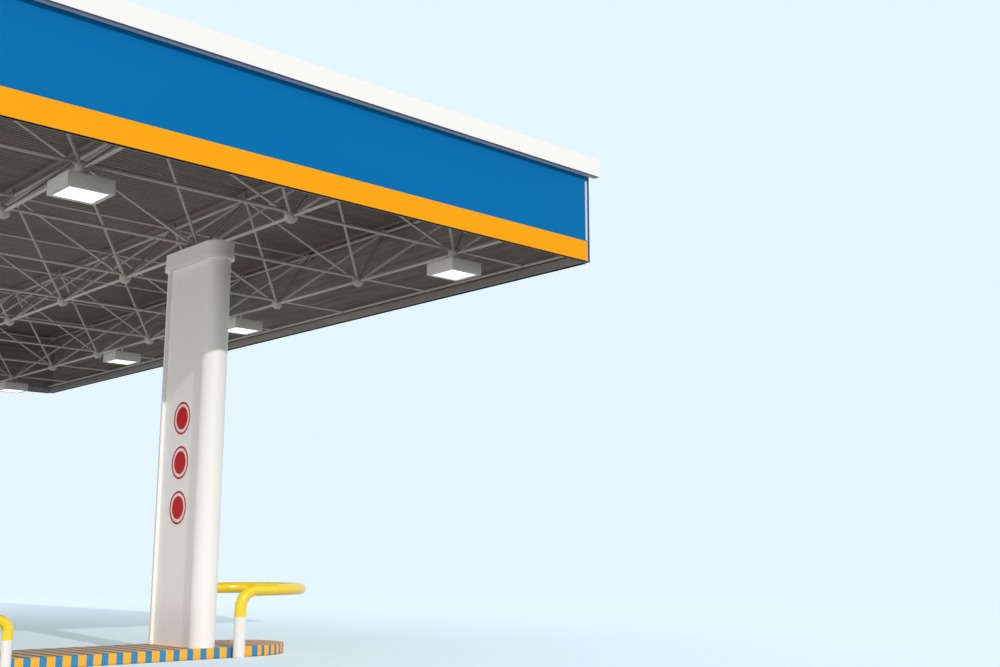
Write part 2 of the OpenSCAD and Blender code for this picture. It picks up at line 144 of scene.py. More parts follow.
def rampOf(tree, value, *stops):
    # colour that runs through hex values, each at its own place
    settings = {"stops": [(place, linearColour(hexText)) for place, hexText in stops]}
    return addNode(tree, "ShaderNodeValToRGB", settings, {"Fac": value}).outputs[0]


def mathOf(tree, operation, first, second=0.0):
    node = addNode(tree, "ShaderNodeMath", {"operation": operation})
    for index, value in ((0, first), (1, second)):
        if isinstance(value, (int, float)):
            node.inputs[index].default_value = value
        else:
            tree.links.new(value, node.inputs[index])
    return node.outputs[0]


def blendNumber(tree, factor, first, second):
    # the first number, or the second where the factor is 1
    return mathOf(tree, "ADD", mathOf(tree, "MULTIPLY", factor, second),
                  mathOf(tree, "MULTIPLY", mathOf(tree, "SUBTRACT", 1.0, factor), first))


def rangeOf(tree, value, low, high):
    # a 0 to 1 value stretched between two others
    return mathOf(tree, "ADD", mathOf(tree, "MULTIPLY", value, high - low), low)


def mapOf(tree, value, fromLow, fromHigh, low=0.0, high=1.0):
    # a value taken from one span to another, and held at both ends
    settings = {"From Min": fromLow, "From Max": fromHigh, "To Min": low, "To Max": high}
    return addNode(tree, "ShaderNodeMapRange", settings, {"Value": value}).outputs[0]


def axesOf(tree, vector):
    return addNode(tree, "ShaderNodeSeparateXYZ", None, {0: vector}).outputs


def upOf(tree):
    # how far a surface faces up: 1 on top, 0 on an upright side, -1 below
    return axesOf(tree, addNode(tree, "ShaderNodeNewGeometry").outputs["Normal"])["Z"]


def inwardOf(tree, place):
    # 1 where an upright surface near the edge faces the middle of the canopy
    facing = axesOf(tree, addNode(tree, "ShaderNodeNewGeometry").outputs["Normal"])
    axes = axesOf(tree, place)
    dotX = mathOf(tree, "MULTIPLY", facing["X"], axes["X"])
    dotY = mathOf(tree, "MULTIPLY", facing["Y"], axes["Y"])
    return mathOf(tree, "LESS_THAN", mathOf(tree, "ADD", dotX, dotY), -0.5)


def dress(tree, shader, colour, roughness):
    tree.links.new(colour, shader.inputs["Base Color"])
    tree.links.new(roughness, shader.inputs["Roughness"])


def roughenBy(tree, shader, height, strength, distanceMm):
    settings = {"Strength": strength, "Distance": distanceMm / 1000}
    bump = addNode(tree, "ShaderNodeBump", settings, {"Height": height})
    tree.links.new(bump.outputs[0], shader.inputs["Normal"])


# materials

enamel = {"paint": "#D4D0C8", "shade": "#C2BDB4", "dust": "#A59D91", "cloudMm": (900, 900, 600),
          "dustMm": (420, 420, 420), "rough": (0.34, 0.5), "bump": (0.12, 1.0),
          "peelMm": (14, 14, 14)}  # real peel is about 3 mm, drawn coarser to show


def sprayedEnamelOnSteel():
    # enamel sprayed on steel tube: even and satin, faint orange peel, dust lying on the upper side
    material, tree, shader, place = newFinish("sprayedEnamelOnSteel", {"IOR": 1.5})
    cloud = noiseOf(tree, place, enamel["cloudMm"])
    paint = blendOf(tree, cloud, enamel["shade"], enamel["paint"])
    facingUp = mathOf(tree, "MAXIMUM", upOf(tree), 0.0)
    settled = mathOf(tree, "MULTIPLY", facingUp, noiseOf(tree, place, enamel["dustMm"]))
    dress(tree, shader, blendOf(tree, settled, paint, enamel["dust"]), rangeOf(tree, cloud, *enamel["rough"]))
    roughenBy(tree, shader, noiseOf(tree, place, enamel["peelMm"], 1.0), *enamel["bump"])
    return material


sheetLook = {"under": "#928A81", "underDark": "#7D756D", "underPale": "#A69D93", "top": "#A9ADAD",
             "topStain": "#6E6A62", "streakMm": (2600, 46, 300), "broadMm": (5200, 420, 900),
             "stainMm": (3200, 120, 900), "streakStops": (0.30, 0.52, 0.76), "broadShare": 0.55,
             "stainFrom": 0.48, "stainTo": 0.74, "stainShare": 0.7, "rough": (0.55, 0.85),
             "bump": (0.25, 2.0)}


def coilCoatedSheet():
    # galvanised sheet, coil coated: brown-grey below with long roller streaks, paler and stained on top
    material, tree, shader, place = newFinish("coilCoatedSheet", {"IOR": 1.5})
    streak = noiseOf(tree, place, sheetLook["streakMm"], 5.0, 0.65)
    broad = noiseOf(tree, place, sheetLook["broadMm"], 2.0)
    darkAt, middleAt, paleAt = sheetLook["streakStops"]
    under = rampOf(tree, streak, (darkAt, sheetLook["underDark"]), (middleAt, sheetLook["under"]),
                   (paleAt, sheetLook["underPale"]))
    under = blendOf(tree, rangeOf(tree, broad, 0.0, sheetLook["broadShare"]), under, sheetLook["underDark"])
    stained = mapOf(tree, noiseOf(tree, place, sheetLook["stainMm"], 4.0), sheetLook["stainFrom"],
                    sheetLook["stainTo"], 0.0, sheetLook["stainShare"])
    top = blendOf(tree, stained, sheetLook["top"], sheetLook["topStain"])
    isTop = mathOf(tree, "GREATER_THAN", upOf(tree), 0.0)
    dress(tree, shader, blendOf(tree, isTop, under, top), rangeOf(tree, streak, *sheetLook["rough"]))
    roughenBy(tree, shader, streak, *sheetLook["bump"])
    return material


fasciaLook = {"blue": "#0071B2", "orange": "#FFAA14", "navy": "#0D1728", "bead": "#155C9E",
              "white": "#FAFAF8", "whiteShade": "#E4E4E2", "back": "#A39E9A", "backDark": "#86817D",
              "backMm": (1500, 1500, 60), "backStops": (0.34, 0.68), "cloudMm": (1400, 1400, 500),
              "cloudShare": 0.10, "cloudDim": 0.8, "roughPlay": (-0.05, 0.07), "bump": (0.08, 0.5),
              "powderMm": (9, 9, 9)}  # powder texture is under 1 mm, drawn coarser to break the sheen


def dullBackOf(tree, place):
    # the mill-dull hidden side of coated sheet, with long streaks
    streak = noiseOf(tree, place, fasciaLook["backMm"], 4.0)
    darkAt, paleAt = fasciaLook["backStops"]
    return rampOf(tree, streak, (darkAt, fasciaLook["backDark"]), (paleAt, fasciaLook["back"]))


def powderCoatedAluminium(name, hexText, roughness, dullInside=True):
    # powder coat on folded aluminium: flat even colour, low sheen, mill-dull and streaked on the hidden side
    material, tree, shader, place = newFinish(name, {"IOR": 1.5, "Specular IOR Level": 0.05})
    colour = linearColour(hexText)
    cloud = noiseOf(tree, place, fasciaLook["cloudMm"])
    clouded = rangeOf(tree, cloud, 0.0, fasciaLook["cloudShare"])
    face = blendOf(tree, clouded, colour, dimmed(colour, fasciaLook["cloudDim"]))
    if dullInside:
        facingDown = mathOf(tree, "LESS_THAN", upOf(tree), -0.5)
        hidden = mathOf(tree, "MAXIMUM", inwardOf(tree, place), facingDown)
        face = blendOf(tree, hidden, face, dullBackOf(tree, place))
    less, more = fasciaLook["roughPlay"]
    dress(tree, shader, face, rangeOf(tree, cloud, roughness + less, roughness + more))
    roughenBy(tree, shader, noiseOf(tree, place, fasciaLook["powderMm"], 1.0), *fasciaLook["bump"])
    return material


# dripShade is painted shade: a bluish grey on the outer strip of the coping's underside, where shade falls
copingLook = {"dripShade": "#5D6478", "dripShadeFromY": 10.19, "dripShadeWide": 0.03, "dullBelow": 7.57,
              "dripShadeShare": 0.85, "dripShadePlay": (0.7, 1.0), "cloudMm": (900, 900, 300), "cloudShare": 0.12,
              "rough": (0.40, 0.52)}


def powderCoatedCoping():
    # white powder coat on folded sheet: painted shade along the drip edge of its underside, dull under the
    # roof
    material, tree, shader, place = newFinish("powderCoatedCoping", {"IOR": 1.5, "Specular IOR Level": 0.05})
    axes = axesOf(tree, place)
    cloud = noiseOf(tree, place, copingLook["cloudMm"])
    white = blendOf(tree, rangeOf(tree, cloud, 0.0, copingLook["cloudShare"]), fasciaLook["white"],
                    fasciaLook["whiteShade"])
    # painted shade: the underside darkens towards its outer edge
    dripShadeStart = copingLook["dripShadeFromY"] - copingLook["dripShadeWide"] / 2
    reach = mapOf(tree, mathOf(tree, "ABSOLUTE", axes["Y"]), dripShadeStart, dripShadeStart + copingLook["dripShadeWide"],
                  0.0, copingLook["dripShadeShare"])
    facingDown = mathOf(tree, "LESS_THAN", upOf(tree), -0.5)
    shadedUnderside = mathOf(tree, "MULTIPLY", facingDown, reach)
    dripShade = mathOf(tree, "MULTIPLY", shadedUnderside, rangeOf(tree, cloud, *copingLook["dripShadePlay"]))
    outside = blendOf(tree, dripShade, white, copingLook["dripShade"])
    underRoof = mathOf(tree, "LESS_THAN", axes["Z"], copingLook["dullBelow"])
    inside = mathOf(tree, "MULTIPLY", inwardOf(tree, place), underRoof)
    face = blendOf(tree, inside, outside, dullBackOf(tree, place))
    dress(tree, shader, face, rangeOf(tree, cloud, *copingLook["rough"]))
    roughenBy(tree, shader, noiseOf(tree, place, fasciaLook["powderMm"], 1.0), *fasciaLook["bump"])
    return material


backingLook = {"dark": "#8A8684", "pale": "#A5A19E", "runMm": (160, 160, 700), "rough": (0.5, 0.75),
               "bump": (0.2, 1.0)}


def dullBackingSteel():
    # galvanised folded channel behind the band, weathered dull with vertical runs
    material, tree, shader, place = newFinish("dullBackingSteel", {"Metallic": 0.0, "IOR": 1.5})
    runs = noiseOf(tree, place, backingLook["runMm"], 4.0)
    dress(tree, shader, blendOf(tree, runs, backingLook["dark"], backingLook["pale"]),
          rangeOf(tree, runs, *backingLook["rough"]))
    roughenBy(tree, shader, runs, *backingLook["bump"])
    return material


# shadowPaintDepth is painted shade: the top of the post is drawn blue, as deep as the coping's shadow
cornerLook = {"pale": "#EFDCD4", "brush": "#D8C6BE", "orange": "#FDA63C", "bareFrom": 0.014, "shadowPaintDepth": 0.085,
              "metallic": 0.35, "brushMm": (5, 5, 900), "rough": (0.30, 0.46), "bump": (0.06, 0.3)}


def anodisedCornerPost():
    # brushed aluminium: bright and warm with fine upright lines, coated like its neighbours at the foot; blue
    # at the top as painted shade, where the coping's shadow falls
    material, tree, shader, place = newFinish("anodisedCornerPost", {"Metallic": cornerLook["metallic"]})
    brush = noiseOf(tree, place, cornerLook["brushMm"], 2.0)
    metal = blendOf(tree, brush, cornerLook["pale"], cornerLook["brush"])
    height = axesOf(tree, place)["Z"]
    trimTop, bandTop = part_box("fascia_bands")[0].z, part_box("fascia_bands")[1].z
    bareLow, shadowPaintBottom = bandTop + cornerLook["bareFrom"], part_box("corner_posts")[1].z - cornerLook["shadowPaintDepth"]
    bare = mathOf(tree, "MULTIPLY", mathOf(tree, "GREATER_THAN", height, bareLow),
                  mathOf(tree, "LESS_THAN", height, shadowPaintBottom))
    # painted shade: above shadowPaintBottom the bare metal is drawn blue, for the coping's shadow on it
    coat = blendOf(tree, mathOf(tree, "LESS_THAN", height, bandTop), fasciaLook["blue"], cornerLook["orange"])
    coat = blendOf(tree, mathOf(tree, "LESS_THAN", height, trimTop), coat, fasciaLook["navy"])
    face = blendOf(tree, bare, coat, metal)
    face = blendOf(tree, inwardOf(tree, place), face, dullBackOf(tree, place))
    dress(tree, shader, face, rangeOf(tree, brush, *cornerLook["rough"]))
    roughenBy(tree, shader, brush, *cornerLook["bump"])
    return material


zincLook = {"flashDark": "#B4B8BA", "flashPale": "#D2D5D6", "spanglePerM": 60, "flashRough": (0.34, 0.5),
            "dipDark": "#8E9496", "dipPale": "#B2B7B8", "dipBloom": "#C8CBCA", "crystalPerM": 90,
            "bloomMm": (70, 70, 70), "bloomShare": 0.4, "dipRough": (0.4, 0.6)}


def zincAluFlashing():
    # aluminium-zinc coated flashing: pale grey metal with a soft spangle
    material, tree, shader, place = newFinish("zincAluFlashing", {"Metallic": 1.0})
    grey = crystalsOf(tree, place, zincLook["spanglePerM"])
    dress(tree, shader, blendOf(tree, grey, zincLook["flashDark"], zincLook["flashPale"]),
          rangeOf(tree, grey, *zincLook["flashRough"]))
    return material


def hotDipGalvanised():
    # hot-dip galvanised steel: grey crystals with a cloudy bloom
    material, tree, shader, place = newFinish("hotDipGalvanised", {"Metallic": 1.0})
    grey = crystalsOf(tree, place, zincLook["crystalPerM"])
    bloom = noiseOf(tree, place, zincLook["bloomMm"])
    metal = blendOf(tree, grey, zincLook["dipDark"], zincLook["dipPale"])
    bloomed = mathOf(tree, "MULTIPLY", bloom, zincLook["bloomShare"])
    face = blendOf(tree, bloomed, metal, zincLook["dipBloom"])
    dress(tree, shader, face, rangeOf(tree, bloom, *zincLook["dipRough"]))
    return material


primerLook = {"purlin": "#8A8177", "purlinRubbed": "#A0968B", "rubMm": (220, 220, 60),
              "purlinRough": (0.5, 0.8), "purlinBump": (0.15, 1.0), "post": "#5E666E",
              "postBrushed": "#7C848B", "brushMm": (18, 18, 400), "postRough": (0.5, 0.7),
              "postBump": (0.15, 0.6)}


def primedPurlinSteel():
    # cold-formed steel with a brown-grey primer as dull as the sheet above it, rubbed paler in places
    material, tree, shader, place = newFinish("primedPurlinSteel", {"IOR": 1.5})
    rub = noiseOf(tree, place, primerLook["rubMm"], 4.0)
    dress(tree, shader, blendOf(tree, rub, primerLook["purlin"], primerLook["purlinRubbed"]),
          rangeOf(tree, rub, *primerLook["purlinRough"]))
    roughenBy(tree, shader, rub, *primerLook["purlinBump"])
    return material


def primedPostSteel():
    # rolled steel under a grey brushed primer, seen only from inside the covers
    material, tree, shader, place = newFinish("primedPostSteel", {"IOR": 1.5})
    brushed = noiseOf(tree, place, primerLook["brushMm"], 3.0)
    dress(tree, shader, blendOf(tree, brushed, primerLook["post"], primerLook["postBrushed"]),
          rangeOf(tree, brushed, *primerLook["postRough"]))
    roughenBy(tree, shader, brushed, *primerLook["postBump"])
    return material


# grimeAndKerbGlow is partly grime and partly painted reflection: the orange kerb's bounce on the column's foot
columnLook = {"coat": "#FAF9F6", "grimeAndKerbGlow": "#DDC4B8", "grimeAndGlowFoot": 0.15, "grimeAndGlowTop": 1.1,
              "grimeAndGlowShare": (0.34, 0.03), "smearMm": (260, 260, 900), "rough": (0.32, 0.46),
              "rippleMm": (700, 700, 1100), "bump": (0.2, 0.9)}


def coatedColumnSheet():
    # aluminium cladding sprayed with satin white: very slightly wavy, pinker towards the kerb, partly grime
    # and partly painted reflection of the orange kerb
    material, tree, shader, place = newFinish("coatedColumnSheet", {"IOR": 1.5})
    smear = noiseOf(tree, place, columnLook["smearMm"], 4.0)
    # pinker towards the foot: a little grime, and painted reflection of the orange kerb
    fade = mapOf(tree, axesOf(tree, place)["Z"], columnLook["grimeAndGlowFoot"], columnLook["grimeAndGlowTop"],
                 *columnLook["grimeAndGlowShare"])
    grimeAndGlow = mathOf(tree, "MULTIPLY", fade, smear)
    dress(tree, shader, blendOf(tree, grimeAndGlow, columnLook["coat"], columnLook["grimeAndKerbGlow"]),
          rangeOf(tree, smear, *columnLook["rough"]))
    # ripples in the sheet, under a millimetre deep
    roughenBy(tree, shader, noiseOf(tree, place, columnLook["rippleMm"], 1.0), *columnLook["bump"])
    return material


island = {"inner": 3.9, "outer": 1.6, "width": 1.52, "height": 0.15, "nosing": 0.012, "foot": 0.004}
kerbPaint = {"blue": "#2A86BC", "orange": "#FFB426", "concrete": "#A8A39A", "footDark": "#5B564F",
             "period": 0.2062, "blueShare": 0.4656, "phase": 0.06, "turnDeg": 9.9, "turnFromDeg": 4.8,
             "turnBlueShare": 0.40, "wobble": 0.02, "wobbleMm": (60, 60, 60), "wearMm": (34, 34, 34),
             "bareSpan": (0.70, 0.76), "footHigh": 0.035, "footShare": 0.45, "rough": (0.5, 0.8),
             "bump": (0.3, 0.8),
             "sandMm": (7, 7, 7)}  # sand in the concrete is 1 to 2 mm, drawn coarser


def kerbBars(tree, place, axes):
    # 1 on a blue bar, 0 on an orange one
    grain = noiseOf(tree, place, kerbPaint["wobbleMm"], 2.0)
    wobble = mathOf(tree, "MULTIPLY", mathOf(tree, "SUBTRACT", grain, 0.5), kerbPaint["wobble"])
    out = mathOf(tree, "SUBTRACT", mathOf(tree, "ABSOLUTE", axes["X"]), grid["columnX"])
    fromColumn = mathOf(tree, "SUBTRACT", mathOf(tree, "ABSOLUTE", axes["Y"]), grid["columnY"])
    aside = mathOf(tree, "ABSOLUTE", fromColumn)
    straight = mathOf(tree, "DIVIDE", mathOf(tree, "ADD", out, kerbPaint["phase"]), kerbPaint["period"])
    # past the straight part the bars fan out about the centre of the round end
    radius = island["width"] / 2
    pastOuter = mathOf(tree, "SUBTRACT", out, island["outer"] - radius)
    pastInner = mathOf(tree, "SUBTRACT", mathOf(tree, "MULTIPLY", out, -1.0), island["inner"] - radius)
    past = mathOf(tree, "MAXIMUM", pastOuter, pastInner)
    angle = mathOf(tree, "MULTIPLY", mathOf(tree, "ARCTAN2", past, aside), 180 / math.pi)
    intoTurn = mathOf(tree, "SUBTRACT", angle, kerbPaint["turnFromDeg"])
    fanned = mathOf(tree, "DIVIDE", intoTurn, kerbPaint["turnDeg"])
    isRound = mathOf(tree, "GREATER_THAN", past, 0.0)
    count = blendNumber(tree, isRound, straight, fanned)
    share = blendNumber(tree, isRound, kerbPaint["blueShare"] / 2, kerbPaint["turnBlueShare"] / 2)
    # a large whole number keeps the count above zero, and a half puts a bar's middle on each whole one
    saw = mathOf(tree, "FRACT", mathOf(tree, "ADD", mathOf(tree, "ADD", count, wobble), 100.5))
    return mathOf(tree, "LESS_THAN", mathOf(tree, "ABSOLUTE", mathOf(tree, "SUBTRACT", saw, 0.5)), share)


def paintedKerbConcrete():
    # cast concrete with brushed road paint in bars: matt and grainy, chipped at the edges, scuffed on top
    material, tree, shader, place = newFinish("paintedKerbConcrete", {"IOR": 1.5})
    axes = axesOf(tree, place)
    bars = blendOf(tree, kerbBars(tree, place, axes), kerbPaint["orange"], kerbPaint["blue"])
    scuff = noiseOf(tree, place, kerbPaint["wearMm"], 6.0, 0.7)
    painted = blendOf(tree, mapOf(tree, scuff, *kerbPaint["bareSpan"]), bars, kerbPaint["concrete"])
    # darker towards the foot, in patches
    foot = mapOf(tree, axes["Z"], 0.0, kerbPaint["footHigh"], kerbPaint["footShare"], 0.0)
    face = blendOf(tree, mathOf(tree, "MULTIPLY", foot, scuff), painted, kerbPaint["footDark"])
    dress(tree, shader, face, rangeOf(tree, scuff, *kerbPaint["rough"]))
    roughenBy(tree, shader, noiseOf(tree, place, kerbPaint["sandMm"], 2.0), *kerbPaint["bump"])
    return material


guardLook = {"yellow": "#FFDE10", "yellowWorn": "#E2B900", "white": "#F4F3EF", "whiteWorn": "#D5D1C8",
             "rubMm": (140, 140, 140), "rubShare": 0.22, "rough": (0.16, 0.34), "coat": 0.6,
             "coatRough": 0.06, "sagMm": (26, 26, 26), "bump": (0.10, 1.0)}


def glossGuardEnamel(name, hexText, wornHex):
    # brushed gloss enamel on steel pipe: wet-looking, slight sag, rubbed by bumpers and hands
    settings = {"IOR": 1.5, "Coat Weight": guardLook["coat"], "Coat Roughness": guardLook["coatRough"]}
    material, tree, shader, place = newFinish(name, settings)
    rub = noiseOf(tree, place, guardLook["rubMm"], 4.0)
    dress(tree, shader, blendOf(tree, rangeOf(tree, rub, 0.0, guardLook["rubShare"]), hexText, wornHex),
          rangeOf(tree, rub, *guardLook["rough"]))
    roughenBy(tree, shader, noiseOf(tree, place, guardLook["sagMm"], 1.0), *guardLook["bump"])
    return material


lampLook = {"coat": "#DCDCD8", "dust": "#9D968B", "speckMm": (30, 30, 30), "powderMm": (6, 6, 6),
            "rough": (0.38, 0.52), "bump": (0.12, 0.5),
            "lens": "#FFFFFF", "lensThick": "#FBFDFF", "lensMm": (200, 200, 200),
            "rubber": "#1E1D1B", "rubberBloom": "#34322F", "bloomMm": (60, 60, 60), "rubberRough": (0.6, 0.8)}


def coatedLampHousing():
    # die-cast and folded aluminium with a fine-textured white powder coat, dusty on top
    material, tree, shader, place = newFinish("coatedLampHousing", {"IOR": 1.5})
    speck = noiseOf(tree, place, lampLook["speckMm"])
    dust = mathOf(tree, "MULTIPLY", mathOf(tree, "MAXIMUM", upOf(tree), 0.0), speck)
    dress(tree, shader, blendOf(tree, dust, lampLook["coat"], lampLook["dust"]),
          rangeOf(tree, speck, *lampLook["rough"]))
    roughenBy(tree, shader, noiseOf(tree, place, lampLook["powderMm"], 1.0), *lampLook["bump"])
    return material


def opalAcrylicLens():
    # opal acrylic with light behind it: evenly bright, a touch dimmer where the sheet is thick
    settings = {"IOR": 1.49, "Roughness": 0.2, "Base Color": linearColour(lampLook["lens"]),
                "Emission Strength": 1.0}
    material, tree, shader, place = newFinish("opalAcrylicLens", settings)
    thick = noiseOf(tree, place, lampLook["lensMm"], 1.0)
    glow = blendOf(tree, thick, lampLook["lens"], lampLook["lensThick"])
    tree.links.new(glow, shader.inputs["Emission Color"])
    return material


def mouldedRubberSeal():
    # black EPDM rubber, extruded: dull, with a slight bloom
    material, tree, shader, place = newFinish("mouldedRubberSeal", {"IOR": 1.5})
    bloom = noiseOf(tree, place, lampLook["bloomMm"])
    dress(tree, shader, blendOf(tree, bloom, lampLook["rubber"], lampLook["rubberBloom"]),
          rangeOf(tree, bloom, *lampLook["rubberRough"]))
    return material


plateLook = {"red": "#C40A14", "redPale": "#CF131B", "white": "#E9E4E2", "whitePale": "#F2EEEC",
             "cloudMm": (40, 40, 40), "rough": (0.35, 0.45)}


def screenPrintedPlate():
    # thin aluminium disc with a screen-printed colour: flat, satin, crisp edge
    material, tree, shader, place = newFinish("screenPrintedRed", {"IOR": 1.5, "Specular IOR Level": 0.1})
    cloud = noiseOf(tree, place, plateLook["cloudMm"])
    dress(tree, shader, blendOf(tree, cloud, plateLook["red"], plateLook["redPale"]),
          rangeOf(tree, cloud, *plateLook["rough"]))
    return material


def printedWhitePlate():
    # the plate's own white coat, left bare between the colours
    material, tree, shader, place = newFinish("printedWhitePlate", {"IOR": 1.5})
    cloud = noiseOf(tree, place, plateLook["cloudMm"])
    dress(tree, shader, blendOf(tree, cloud, plateLook["white"], plateLook["whitePale"]),
          rangeOf(tree, cloud, *plateLook["rough"]))
    return material


finishes = {
    "frame_paint": sprayedEnamelOnSteel(),
    "roof_sheet": coilCoatedSheet(),
    "purlin_paint": primedPurlinSteel(),
    "flashing": zincAluFlashing(),
    "fascia_blue": powderCoatedAluminium("powderCoatedBlue", fasciaLook["blue"], 0.42),
    "fascia_orange": powderCoatedAluminium("powderCoatedOrange", fasciaLook["orange"], 0.42),
    "trim_navy": powderCoatedAluminium("powderCoatedNavy", fasciaLook["navy"], 0.38, dullInside=False),
    "bead_blue": powderCoatedAluminium("powderCoatedBeadBlue", fasciaLook["bead"], 0.42),
    "backing_grey": dullBackingSteel(),
    "corner_metal": anodisedCornerPost(),
    "coping_white": powderCoatedCoping(),
    "column_white": coatedColumnSheet(),
    "inner_steel": primedPostSteel(),
    "island_paint": paintedKerbConcrete(),
    "guard_yellow": glossGuardEnamel("glossYellowEnamel", guardLook["yellow"], guardLook["yellowWorn"]),
    "guard_white": glossGuardEnamel("glossWhiteEnamel", guardLook["white"], guardLook["whiteWorn"]),
    "saddle_grey": hotDipGalvanised(),
    "lamp_white": coatedLampHousing(),
    "lamp_lens": opalAcrylicLens(),
}
for part in frame["record"]["subparts"]:
    mesh = nodes[part["node"]].data
    mesh.materials.clear()
    mesh.materials.append(finishes[part["material_slot"]])
print("stage: materials on every node")


# shapes that repeat

def turned(profile, sides, closed=False):
    # a profile of (radius, height) turned about Z; a closed profile makes a ring
    count = len(profile)
    angles = np.arange(sides) * 2 * math.pi / sides
    points = np.array([[r * math.cos(a), r * math.sin(a), h] for r, h in profile for a in angles])
    faces = []
    for row in range(count if closed else count - 1):
        after = (row + 1) % count
        for side in range(sides):
            turn = (side + 1) % sides
            faces.append((row * sides + side, row * sides + turn, after * sides + turn, after * sides + side))
    if not closed:
        faces.append(tuple(reversed(range(sides))))
        faces.append(tuple(range((count - 1) * sides, count * sides)))
    return points, faces


def turnTo(direction):
    # matrix that turns Z towards a direction
    return np.array(Vector((0, 0, 1)).rotation_difference(Vector(direction)).to_matrix())


def repeated(shape, places):
    # one shape at many places, each an origin and a direction for its Z axis
    points, faces = shape
    allPoints, allFaces = [], []
    for count, (origin, direction) in enumerate(places):
        allPoints.append(points @ turnTo(direction).T + np.array(origin))
        shift = count * len(points)
        allFaces += [tuple(v + shift for v in face) for face in faces]
    return np.concatenate(allPoints), allFaces


def joined(*shapes):
    allPoints, allFaces, shift = [], [], 0
    for points, faces in shapes:
        allPoints.append(points)
        allFaces += [tuple(v + shift for v in face) for face in faces]
        shift += len(points)
    return np.concatenate(allPoints), allFaces


def addPiece(name, shape, slot, material=None, sharp=35, stands=None):
    # a new mesh in its slot's finish, riding on the frame
    points, faces = shape
    mesh = bpy.data.meshes.new(name)
    mesh.from_pydata(np.asarray(points).tolist(), [], faces)
    shell = bmesh.new()
    shell.from_mesh(mesh)
    bmesh.ops.recalc_face_normals(shell, faces=shell.faces)
    shell.to_mesh(mesh)
    shell.free()
    mesh.shade_smooth()
    mesh.set_sharp_from_angle(angle=math.radians(sharp))
    mesh.materials.append(material or finishes[slot])
    piece = bpy.data.objects.new(name, mesh)
    bpy.context.scene.collection.objects.link(piece)
    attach(piece, "root")
    if stands:
        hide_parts(stands)
    return piece


# bars of the space frame, as pairs of ball centres with the seats at both ends

def bottomBall(i, j):
    return Vector(((i - (grid["bottomX"] - 1) / 2) * grid["bayX"],
                   (j - (grid["bottomY"] - 1) / 2) * grid["bayY"], grid["bottomZ"]))


def topBall(i, j):
    return Vector(((i - grid["bottomX"] / 2) * grid["bayX"],
                   (j - grid["bottomY"] / 2) * grid["bayY"], grid["topZ"]))


def barEnds():
    # every coned end of every tube: ball centre, direction away from it and distance to the seat
    nx, ny = grid["bottomX"], grid["bottomY"]
    low, high = grid["bottomSeat"], grid["topSeat"]
    ends = {"bottom": [], "strut": [], "web": [], "top": []}

    def addBar(kind, a, b, seatA, seatB):
        way = (b - a).normalized()
        ends[kind] += [(a, way, seatA), (b, -way, seatB)]

    for i in range(nx):
        for j in range(ny):
            here = bottomBall(i, j)
            if j + 1 < ny:
                addBar("bottom", here, bottomBall(i, j + 1), low, low)
            for di in (0, 1):
                for dj in (0, 1):
                    addBar("web", here, topBall(i + di, j + dj), low, high)
        for j, side in ((0, -1), (ny - 1, 1)):
            ends["strut"].append((bottomBall(i, j), Vector((0, side, 0)), low))
    for i in range(nx + 1):
        for j in range(ny + 1):
            if i < nx:
                addBar("top", topBall(i, j), topBall(i + 1, j), high, high)
            if j < ny:
                addBar("top", topBall(i, j), topBall(i, j + 1), high, high)
    return ends


tubeRadius = {"bottom": grid["chordRadius"], "strut": grid["webRadius"], "web": grid["webRadius"],
              "top": grid["chordRadius"]}
sleeveLook = {"share": 0.97, "length": 0.032, "chamfer": 0.003}  # hexagon on each bolt, as a share of the tube
weldLook = {"height": 0.004, "width": 0.011, "sunk": 0.002, "sides": 14}


def addSleeves(ends):
    long, cut = sleeveLook["length"], sleeveLook["chamfer"]
    for kind, group in ends.items():
        r = tubeRadius[kind] * sleeveLook["share"]
        shape = turned([(r - cut, 0), (r, cut), (r, long - cut), (r - cut, long)], 6)
        addPiece("sleeves_" + kind, repeated(shape, [(at + way * seat, way) for at, way, seat in group]),
                 "frame_paint", sharp=20)


def addWelds(ends):
    # bead where each cone is welded to its tube
    bead, half = weldLook["height"], weldLook["width"] / 2
    for kind, group in ends.items():
        r = tubeRadius[kind]
        inside = r - weldLook["sunk"]
        shape = turned([(inside, -half), (r + bead, 0), (inside, half)], weldLook["sides"], closed=True)
        addPiece("welds_" + kind, repeated(shape, [(at + way * (seat + grid["coneLength"]), way)
                                                   for at, way, seat in group]), "frame_paint", sharp=60)


def beadAlong(loop, radius, sides=6):
    # round bead along a closed loop of points
    loop = np.array(loop)
    count = len(loop)
    ahead = np.roll(loop, -1, axis=0) - np.roll(loop, 1, axis=0)
    ahead /= np.linalg.norm(ahead, axis=1)[:, None]
    out = loop - loop.mean(axis=0)
    out -= (out * ahead).sum(axis=1)[:, None] * ahead
    out /= np.linalg.norm(out, axis=1)[:, None]
    across = np.cross(ahead, out)
    turns = np.arange(sides) * 2 * math.pi / sides
    rings = [loop + radius * (math.cos(t) * out + math.sin(t) * across) for t in turns]
    points = np.stack(rings, axis=1).reshape(-1, 3)
    faces = []
    for row in range(count):
        here, after = row * sides, (row + 1) % count * sides
        for side in range(sides):
            turn = (side + 1) % sides
            faces.append((here + side, here + turn, after + turn, after + side))
    return points, faces


beadLook = {"radius": 0.004, "steps": 20}


